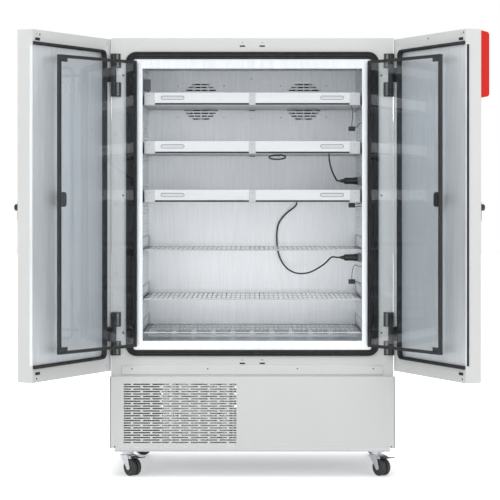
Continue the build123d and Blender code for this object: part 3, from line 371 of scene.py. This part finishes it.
white_coat = powder_coat("white powder coat", (0.72, 0.735, 0.725))
door_coat = powder_coat("door powder coat", (0.80, 0.815, 0.81))
dressed("casing_wrap", "outer_casing", white_coat, 0.0006)
dressed("rear_sheet", "back_panel", white_coat)
dressed("front_flange", "front_frame", white_coat, 0.0005)
dressed("drip_cover", "gutter_cover", white_coat, 0.001)
dressed("bay_cover", "lower_front_cover", white_coat, 0.0004)


# Fasteners: small pan-head screws and black plugs, set in rows wherever sheets and
# blocks are held on. One tree of nodes turns a row of points into a row of heads.
def brushed_steel(name, colour, roughness, grain, metallic=1.0):
    """Rolled sheet or drawn wire: fine scratches, long where the grain's scale is low."""
    made = Finish(name)
    scratch = made.where.noise(9, 6, grain, 0.62)
    cloud = made.where.noise(1.3, 3)
    tone = (scratch * 0.5 + cloud * 0.5).band(0.3, 0.7)
    made.lay(Metallic=metallic, Base_Color=tone.mix(tinted(colour, 0.88), tinted(colour, 1.08)),
             Roughness=scratch * 0.16 + roughness - 0.08)
    return made.bump(scratch, 0.04, 0.0002).material


plain_steel = brushed_steel("turned steel", (0.58, 0.59, 0.6), 0.34, (60, 60, 60))
# Black for the plugs and pegs, and painted shade for the screw recesses and the slot openings.
black_plugs_and_hole_shade = moulded_plastic("black plugs and painted hole shade", (0.008, 0.008, 0.009), 0.7)


def node_tree(name, inputs):
    """A tree of geometry nodes; the returned call adds a node and gives its output."""
    tree = bpy.data.node_groups.new(name, "GeometryNodeTree")
    tree.interface.new_socket("Geometry", in_out="INPUT", socket_type="NodeSocketGeometry")
    for label, kind in inputs:
        tree.interface.new_socket(label, in_out="INPUT", socket_type="NodeSocket" + kind)
    tree.interface.new_socket("Geometry", in_out="OUTPUT", socket_type="NodeSocketGeometry")
    source = tree.nodes.new("NodeGroupInput")
    sink = tree.nodes.new("NodeGroupOutput")

    def add(kind, out=0, settings=None, **links):
        made = tree.nodes.new(kind)
        for key, value in (settings or {}).items():
            setattr(made, key, value)
        for key, value in links.items():
            target = made.inputs[key.replace("_", " ")]
            for one in value if isinstance(value, list) else [value]:
                if isinstance(one, bpy.types.NodeSocket):
                    tree.links.new(one, target)
                else:
                    target.default_value = one
        return made.outputs[out]

    return tree, source.outputs, sink.inputs[0], add


RECESS_SHARE = 0.3     # how high the recess stands in a head, of the head's height
CROWN_SHARE = 0.72     # a head's radius at its top, of its radius below
screw_tree, given, result, add = node_tree("screw row", [
    ("Head radius", "Float"), ("Head height", "Float"), ("Recess radius", "Float"),
    ("Turn", "Rotation"), ("Head finish", "Material"), ("Recess finish", "Material")])
depth = add("ShaderNodeMath", settings={"operation": "MULTIPLY"}, Value=given["Head height"])
depth.node.inputs[1].default_value = RECESS_SHARE
rim = add("ShaderNodeMath", settings={"operation": "MULTIPLY"}, Value=given["Head radius"])
rim.node.inputs[1].default_value = CROWN_SHARE
head = add("GeometryNodeMeshCone", Vertices=16, Radius_Top=rim, Radius_Bottom=given["Head radius"],
           Depth=given["Head height"])
head = add("GeometryNodeSetMaterial", Geometry=head, Material=given["Head finish"])
# The recess is a black disc on the head: painted shade for the hole.
recess = add("GeometryNodeMeshCylinder", Vertices=6, Radius=given["Recess radius"], Depth=depth)
lift = add("ShaderNodeCombineXYZ", Z=given["Head height"])
recess = add("GeometryNodeTransform", Geometry=recess, Translation=lift)
recess = add("GeometryNodeSetMaterial", Geometry=recess, Material=given["Recess finish"])
joined = add("GeometryNodeJoinGeometry", Geometry=[head, recess])
placed = add("GeometryNodeInstanceOnPoints", Points=given["Geometry"], Instance=joined,
             Rotation=given["Turn"])
screw_tree.links.new(add("GeometryNodeRealizeInstances", Geometry=placed), result)


def grown(name, tree, points, values, body, crease=35):
    """Runs a tree on a row of points and keeps the plain mesh that it makes."""
    seed = bpy.data.meshes.new(name + " points")
    seed.from_pydata([tuple(p) for p in points], [], [])
    maker = bpy.data.objects.new(name + " maker", seed)
    scene.collection.objects.link(maker)
    modifier = maker.modifiers.new("grow", "NODES")
    modifier.node_group = tree
    for item in tree.interface.items_tree:
        if item.in_out == "INPUT" and item.name in values:
            modifier[item.identifier] = values[item.name]
    graph = bpy.context.evaluated_depsgraph_get()
    data = bpy.data.meshes.new_from_object(maker.evaluated_get(graph))
    bpy.data.objects.remove(maker)
    data.name = name
    return fitted(name, data, None, body, crease=crease)


FACING_FRONT = (math.radians(90), 0, 0)


def screws(name, points, radius, body="cabinet", turn=FACING_FRONT, height=None, head=None):
    """A row of pan heads at points in metres, their radius and height in millimetres."""
    return grown(name, screw_tree, points, {
        "Head radius": radius / 1000, "Head height": (height or radius * 0.55) / 1000,
        "Recess radius": radius * 0.45 / 1000, "Turn": turn, "Head finish": head or plain_steel,
        "Recess finish": black_plugs_and_hole_shade}, body)


def painted_slot_shade(name, place, body, size):
    """A black box in a slot: painted shade for its opening. Its place is a matrix, its size in metres.
    """
    bm = bmesh.new()
    bmesh.ops.create_cube(bm, size=1)
    bm.transform(place @ Matrix.Diagonal((*size, 1)))
    bmesh.ops.bevel(bm, geom=bm.edges[:], offset=0.0003, segments=1)
    data = bpy.data.meshes.new(name)
    bm.to_mesh(data)
    bm.free()
    return fitted(name, data, black_plugs_and_hole_shade, body)


STRIKER_SIDES = {"left": -43.5, "right": 43.5}
STRIKER_SCREW_LEVELS = (1906, 513)
STRIKER_SLOT_LEVELS = {"top": 1890.5, "bottom": 497.5}
DRIP_COVER_FACE = -6
BAY_COVER_FACE = -28
screws("striker_screws",
       [at(x, 0, z) for x in STRIKER_SIDES.values() for z in STRIKER_SCREW_LEVELS], 3.6)
screws("flange_plugs", [at(x, 0, z) for x in (-569, 569) for z in (1762, 1235, 632)], 4.2,
       head=black_plugs_and_hole_shade, height=1)
screws("drip_cover_clips", [at(x, DRIP_COVER_FACE, 475) for x in (-528, -196, 198, 531)], 3.4,
       head=grey_plastic, height=1.2)
screws("bay_cover_plugs", [at(x, BAY_COVER_FACE, 135) for x in (-602, 608)], 3.2,
       head=black_plugs_and_hole_shade, height=1)
# Black boxes just inside the striker slots: painted shade for the openings.
for side, x in STRIKER_SIDES.items():
    for label, z in STRIKER_SLOT_LEVELS.items():
        painted_slot_shade(f"striker_insert_{side}_{label}", Matrix.Translation(at(x, 1.2, z)), "cabinet",
               (0.0236, 0.0014, 0.0066))


# The stainless chamber: a welded tub with its rim round the mouth, and the false rear
# wall with the two fan grilles. The side walls have pressed ribs every 16 mm.
tub_steel = brushed_steel("tub stainless", (0.70, 0.735, 0.76), 0.33, (14, 14, 0.9))
wall_steel = brushed_steel("rear wall stainless", (0.76, 0.785, 0.81), 0.4, (14, 14, 0.9))
dressed("chamber_tub", "chamber_liner", tub_steel, whole=False)
dressed("rear_wall", "rear_baffle", wall_steel)
dressed("grille_plates", "fan_grilles", wall_steel, 0.0004)
frame["nodes"]["insulation"].data.materials[0] = moulded_plastic("foam", (0.6, 0.55, 0.4), 0.8)

rib_tree, given, result, add = node_tree("pressed ribs", [
    ("Length", "Float"), ("Half width", "Float"), ("Flattening", "Vector"), ("Finish", "Material")])
end = add("ShaderNodeCombineXYZ", Y=given["Length"])
line = add("GeometryNodeCurvePrimitiveLine", End=end)
profile = add("GeometryNodeCurvePrimitiveCircle", Resolution=8, Radius=given["Half width"])
rib = add("GeometryNodeCurveToMesh", Curve=line, Profile_Curve=profile, Fill_Caps=True)
rib = add("GeometryNodeTransform", Geometry=rib, Scale=given["Flattening"])
rib = add("GeometryNodeSetMaterial", Geometry=rib, Material=given["Finish"])
rows = add("GeometryNodeInstanceOnPoints", Points=given["Geometry"], Instance=rib)
rib_tree.links.new(add("GeometryNodeRealizeInstances", Geometry=rows), result)

WALL_SIDES = {"left": -486.5, "right": 486.5}
RIB_PITCH = 16
RIB_COUNT = 75
LOWEST_RIB = 606
rib_levels = [LOWEST_RIB + RIB_PITCH * i for i in range(RIB_COUNT)]
for side, x in WALL_SIDES.items():
    grown("wall_ribs_" + side, rib_tree, [at(x, 60, z) for z in rib_levels],
          {"Length": 0.5, "Half width": 0.003, "Flattening": (0.55, 1, 1), "Finish": tub_steel},
          "cabinet", crease=60)
FAN_SIDES = {"left": -241.5, "right": 241.5}
FAN_LEVEL = 1674.5
screws("rear_wall_screws", [at(-4, 616, z) for z in (1782, 1596)], 3.4)
for side, x in FAN_SIDES.items():
    corners = [at(x + dx, 614.5, FAN_LEVEL + dz) for dx in (-108, 108) for dz in (-74, 74)]
    screws("grille_screws_" + side, corners, 3.6)
for side, x in WALL_SIDES.items():
    quarter = math.copysign(math.radians(90), -x)
    screws("tray_stop_pegs_" + side, [at(x, 12, z) for z in (1554, 1338, 1127)], 5, height=4,
           head=black_plugs_and_hole_shade, turn=(0, quarter, 0))


# The frame seal: a black extruded rubber ring with three ribs, bent round the corners
# without a joint and pressed on to the flange round the chamber's mouth.
dressed("frame_seal", "frame_gasket", seal_rubber, 0.0014, 30, whole=False)


# The lamp trays: white lacquered aluminium trays that slide in on wall rails. Each has a
# bar in front with two windows, pale diffusers below, and three caps with a screw each.
lamp_coat = powder_coat("lamp tray lacquer", (0.86, 0.88, 0.9), 0.3)
trays = dressed("lamp_trays", "light_cassettes", lamp_coat, 0.0005)
diffuser_sheet = Finish("opal sheet")
opal_cloud = diffuser_sheet.where.noise(3, 2)
diffuser_sheet.lay(Base_Color=opal_cloud.mix((0.74, 0.78, 0.82), (0.8, 0.84, 0.88)), Roughness=0.32)
frame["nodes"]["cassette_diffusers"].data.materials[0] = diffuser_sheet.material
TRAY_LEVELS = (1634, 1419.5, 1205)
CAP_FACES_BEFORE = 43.5     # only the caps have faces this far forward
cap_grey = powder_coat("tray cap lacquer", (0.64, 0.66, 0.68), 0.35)
trays.data.materials.append(cap_grey)
for polygon in trays.data.polygons:
    if polygon.center.y < at(0, CAP_FACES_BEFORE, 0).y and abs(polygon.normal.y) > 0.9:
        polygon.material_index = 1
screws("lamp_tray_screws", [at(x, 41, low + 42) for low in TRAY_LEVELS for x in (-453, 0, 453)], 3.0)


def oblong(centre_x, centre_z, length, height, steps=8):
    """The outline of a slot with round ends, in millimetres, anticlockwise."""
    radius, reach = height / 2, (length - height) / 2
    half_turn = [math.pi * i / steps for i in range(steps + 1)]
    return [(centre_x + side * (reach + radius * math.sin(a)),
             centre_z - side * radius * math.cos(a)) for side in (1, -1) for a in half_turn]


def slab(bm, outline, y0, y1, hole=None):
    """A plate between two depths; a hole has as many points as the outline."""
    def loop(points, y):
        return [bm.verts.new(at(x, y, z)) for x, z in points]

    count = len(outline)
    front, back = loop(outline, y0), loop(outline, y1)
    walls = [(front, back)]
    if hole:
        hole_front, hole_back = loop(hole, y0), loop(hole, y1)
        walls.append((hole_back, hole_front))
    else:
        bm.faces.new(front)
        bm.faces.new(back[::-1])
    for i in range(count):
        j = (i + 1) % count
        for near, far in walls:
            bm.faces.new((near[j], near[i], far[i], far[j]))
        if hole:
            bm.faces.new((front[i], front[j], hole_front[j], hole_front[i]))
            bm.faces.new((back[j], back[i], hole_back[i], hole_back[j]))


def box_outline(x0, x1, z0, z1):
    """The outline of a plate with square corners."""
    return [(x0, z0), (x1, z0), (x1, z1), (x0, z1)]


def built(name, finish, body, edge=0.0):
    """Starts a piece made of plates; the returned call finishes it."""
    bm = bmesh.new()

    def close():
        bmesh.ops.recalc_face_normals(bm, faces=bm.faces)
        data = bpy.data.meshes.new(name)
        bm.to_mesh(data)
        bm.free()
        return fitted(name, data, finish, body, edge)

    return bm, close


opal = diffuser_sheet.material
windows, close_windows = built("lamp_slot_windows", opal, "cabinet")
# The grey rim round each window is painted shade on the slot's edge.
slot_rim_shade, close_slot_rim_shade = built("lamp_slot_rim_shade", grey_plastic, "cabinet")
shadow_strips_and_rear_dash, close_shadow_strips_and_rear_dash = built("lamp_tray_shadow_strips_and_rear_dash", black_plastic, "cabinet")
WINDOW_X = 352
WINDOW_RISE = 32       # from a tray's underside to its windows
for low in TRAY_LEVELS:
    rise = low + WINDOW_RISE
    for x in (-WINDOW_X, WINDOW_X):
        slab(windows, oblong(x, rise, 101, 14), 46.4, 48.4)
        slab(slot_rim_shade, oblong(x, rise, 104, 17), 43.7, 46.4, hole=oblong(x, rise, 100.6, 13.6))
    # A thin black strip under each bar: painted shadow on the tray's front wall below it.
    for x0, x1 in ((-429.5, -15), (15, 429.5)):
        slab(shadow_strips_and_rear_dash, box_outline(x0, x1, low + 1.2, low + 8.4), 48.6, 49.9)
    # A small black block under each tray at the rear.
    slab(shadow_strips_and_rear_dash, box_outline(-13, 13, low - 3.5, low + 3), 580.1, 583)
for close in (close_windows, close_slot_rim_shade, close_shadow_strips_and_rear_dash):
    close()


# The wall rails, the carriers hooked into them and the three shelves, all of them bright
# stainless wire, bent and spot-welded. The shelves lie loose on their carriers.
wire_steel = brushed_steel("shelf wire", (0.42, 0.44, 0.45), 0.3, (50, 4, 50))
dressed("wall_carriers", "shelf_carriers", wire_steel, 0.0005)
for level in ("upper", "middle", "lower"):
    dressed("wire_shelf_" + level, "shelf_" + level, wire_steel, crease=62)


# The sockets and the climate sensor on the chamber's walls, moulded in grey plastic and
# screwed on, and the access port, a flanged steel pipe through the left wall.
dressed("wall_sockets_and_sensor", "wall_fittings", grey_plastic, 0.0012)
dressed("port_liner", "access_port", plain_steel, 0.0006)


# Behind the rear wall and in the machine bay: fans with their motors, finned coils,
# the compressor and the folded base pan.
zinc = brushed_steel("zinc plate", (0.5, 0.51, 0.53), 0.38, (30, 30, 30))
fin_stock = brushed_steel("fin aluminium", (0.62, 0.63, 0.65), 0.4, (80, 80, 2))
dressed("motors", "fan_motors", zinc, 0.0006)
dressed("coils", "heat_exchangers", fin_stock)
black_enamel = powder_coat("compressor enamel", (0.02, 0.02, 0.022), 0.3)
dressed("compressor_can", "compressor", black_enamel, crease=40)
dressed("base_pan", "base_chassis", zinc, 0.0008)
for side in ("left", "right"):
    dressed("circulation_rotor_" + side, "circulation_fan_" + side, black_plastic,
            0.0004)
dressed("cooling_rotor", "condenser_fan", pale_plastic, 0.0005)


# Hinges: black moulded blocks screwed to the flange for the outer doors, each with a lighter
# grey strip down it, and small brackets beside the seal for the glass doors.
dressed("hinge_blocks", "door_hinge_blocks", black_plastic, 0.0012)
grey_strips, close_grey_strips = built("hinge_grey_strips", grey_plastic, "cabinet", 0.0006)
STRIP_INNER, STRIP_OUTER, STRIP_HEIGHT = 587, 597, 54
for sign in (-1, 1):
    near, far = sorted((sign * STRIP_INNER, sign * STRIP_OUTER))
    for hinge_level in (1762.5, 628):
        for low in (hinge_level - 89, hinge_level + 36.5):
            slab(grey_strips, box_outline(near, far, low, low + STRIP_HEIGHT), -7.8, -6.8)
close_grey_strips()
dressed("glass_brackets", "glass_hinge_brackets", black_plastic, 0.0006)


# The two outer doors: painted trays with a stainless inner sheet that turns round the
# free edge, a three-sided seal, hinge arms and a turning grip on the outside.
door_steel = brushed_steel("door stainless", (0.83, 0.87, 0.9), 0.42, (16, 16, 0.5), metallic=0.55)


def opened(name):
    """Takes a place on the closed door to where it is with the door open."""
    joint = next(j for j in frame["joints"] if j["name"] == name)
    pivot = Matrix.Translation(Vector(joint["pos_m"]))
    closed = math.radians(joint["range_deg"][0])
    return pivot @ Matrix.Rotation(-closed, 4, Vector(joint["axis"])) @ pivot.inverted()


SHEET_FACE = -34       # the inner sheet's face on the closed door
DOOR_SCREWS = ((586, 1896), (586, 492), (34, 1904))
DOOR_PLUGS = {"left": ((58, 1902), (34, 479)), "right": ((20, 1907), (318, 1903), (30, 479))}
LATCH_X = 42
LATCH_LEVELS = {"top": 1882, "bottom": 500}
for side, sign in (("left", -1), ("right", 1)):
    swing = opened(side + "_door_hinge")
    dressed(side + "_door_tray", side + "_door_skin", door_coat, 0.0012)
    dressed(side + "_door_sheet", side + "_door_panel", door_steel, 0.0005)
    dressed(side + "_door_seal", side + "_door_gasket", seal_rubber, 0.0012, 30,
            whole=False)
    dressed(side + "_door_arms", side + "_door_fittings", black_plastic, 0.0012)
    dressed(side + "_door_grip", side + "_handle_lever", black_plastic, 0.0035)
    inward = swing.to_3x3() @ Vector((0, 1, 0))
    turn = tuple(inward.to_track_quat("Z", "X").to_euler())
    screws(side + "_door_screws", [swing @ at(sign * x, SHEET_FACE, z) for x, z in DOOR_SCREWS],
           3.4, side + "_door", turn)
    screws(side + "_door_plugs", [swing @ at(sign * x, SHEET_FACE, z) for x, z in DOOR_PLUGS[side]],
           4.4, side + "_door", turn, height=0.8, head=black_plugs_and_hole_shade)
    # Black boxes just inside the latch slots: painted shade for the openings.
    for label, z in LATCH_LEVELS.items():
        painted_slot_shade(f"{side}_latch_insert_{label}",
               swing @ Matrix.Translation(at(sign * LATCH_X, SHEET_FACE - 1.2, z)),
               side + "_door", (0.0355, 0.0016, 0.0115))
dressed("centre_seal", "right_centre_seal", seal_rubber, 0.0006)


# The controller on the right door's free edge: a red moulded housing with a smooth dark
# display let into its face.
red_housing = Finish("red housing")
sheen = red_housing.where.noise(5, 3)
red_housing.lay(Base_Color=sheen.mix((0.70, 0.012, 0.006), (0.78, 0.02, 0.01)),
                Roughness=sheen * 0.1 + 0.45, Specular_IOR_Level=0.3)
red_housing.bump(red_housing.where.noise(900, 2), 0.12, 0.0002)
dressed("controller_case", "controller_housing", red_housing.material, 0.002)
display = moulded_plastic("display", (0.01, 0.012, 0.016), 0.12)
dressed("controller_glass", "controller_screen", display, 0.0008)


# The glass inner doors: a clear pane held in a black moulded frame with a grip on the free
# side. Light goes straight through the pane, so that the chamber behind it isn't in shade.
pane_glass = Finish("clear pane")
pane_glass.lay(Base_Color=(0.9, 0.915, 0.93), Transmission_Weight=1.0, IOR=1.5,
               Roughness=pane_glass.where.noise(6, 2) * 0.02 + 0.01)
tree = pane_glass.tree
rays = tree.nodes.new("ShaderNodeLightPath")
lets_through = tree.nodes.new("ShaderNodeBsdfTransparent")
lets_through.inputs["Color"].default_value = (0.82, 0.85, 0.87, 1)
either = tree.nodes.new("ShaderNodeMixShader")
tree.links.new(rays.outputs["Is Shadow Ray"], either.inputs[0])
tree.links.new(pane_glass.shader.outputs[0], either.inputs[1])
tree.links.new(lets_through.outputs[0], either.inputs[2])
tree.links.new(either.outputs[0], tree.nodes["Material Output"].inputs["Surface"])
for side in ("left", "right"):
    dressed(side + "_glass_surround", side + "_glass_frame", black_plastic, 0.001)
    dressed(side + "_glass_sheet", side + "_glass_pane", pane_glass.material)


# The casters: pressed zinc plate forks on ball races, twin rubber wheels, and a foot
# brake on each front one.
dressed("caster_races", "caster_stems", zinc, 0.0006)
for place in ("front_left", "front_right", "rear_left", "rear_right"):
    dressed("fork_" + place, "caster_fork_" + place, zinc, 0.0005)
    dressed("twin_wheel_" + place, "caster_wheel_" + place, tyre_rubber, crease=38)
    if place.startswith("front"):
        dressed("foot_brake_" + place, "caster_brake_" + place, black_plastic, 0.0012)


# The studio: a pale floor that keeps the cabinet's shadow, a white surround, and four
# large soft lamps.
floor_finish = Finish("studio floor")
pale_floor = floor_finish.where.noise(0.6, 2).mix((0.8, 0.8, 0.8), (0.82, 0.82, 0.82))
floor_finish.lay(Base_Color=pale_floor, Roughness=0.6)


def seen_rays(tree):
    """1 for rays from the camera, from a mirroring surface or through glass, else 0."""
    rays = tree.nodes.new("ShaderNodeLightPath")
    seen = Socket(tree, rays.outputs["Is Camera Ray"])
    for kind in ("Is Glossy Ray", "Is Transmission Ray"):
        seen = seen.math("MAXIMUM", seen, Socket(tree, rays.outputs[kind]))
    return seen


FOOTPRINT_MIDDLE = 0.28
FOOTPRINT_HALF_WIDTH, FOOTPRINT_HALF_DEPTH = 0.63, 0.39
beside = floor_finish.where.axis("X").size() - FOOTPRINT_HALF_WIDTH
before = (floor_finish.where.axis("Y") - FOOTPRINT_MIDDLE).size() - FOOTPRINT_HALF_DEPTH
outside = beside.math("MAXIMUM", beside, before).band(-0.12, 0.3)
floor_finish.lay(Emission_Color=(1, 1, 1),
                 Emission_Strength=seen_rays(floor_finish.tree) * (outside * 0.7 + 0.3))
bm = bmesh.new()
bmesh.ops.create_grid(bm, x_segments=8, y_segments=8, size=30)
floor_mesh = bpy.data.meshes.new("floor")
bm.to_mesh(floor_mesh)
bm.free()
floor_mesh.materials.append(floor_finish.material)
floor = bpy.data.objects.new("floor", floor_mesh)
scene.collection.objects.link(floor)

world = bpy.data.worlds.new("studio")
world.use_nodes = True
scene.world = world
AMBIENT = 0.5
background = world.node_tree.nodes["Background"]
background.inputs["Color"].default_value = (1, 1, 1, 1)
feed(world.node_tree, seen_rays(world.node_tree) * (1 - AMBIENT) + AMBIENT,
     background.inputs["Strength"])

AIMED_AT = Vector((0, 0.1, 1.0))
LAMPS = {
    "key": ((-3.4, -6.2, 3.6), 3.2, 105),
    "fill": ((3.8, -6.0, 2.6), 3.2, 85),
    "top": ((0.0, -1.5, 5.2), 3.6, 60),
    "back": ((0.0, 5.5, 3.6), 4.0, 90),
}
for name, (place, size, watts) in LAMPS.items():
    lamp = bpy.data.lights.new(name, "AREA")
    lamp.shape = "SQUARE"
    lamp.size = size
    lamp.energy = watts
    holder = bpy.data.objects.new(name, lamp)
    holder.location = place
    holder.rotation_euler = (Vector(place) - AIMED_AT).to_track_quat("Z", "Y").to_euler()
    scene.collection.objects.link(holder)
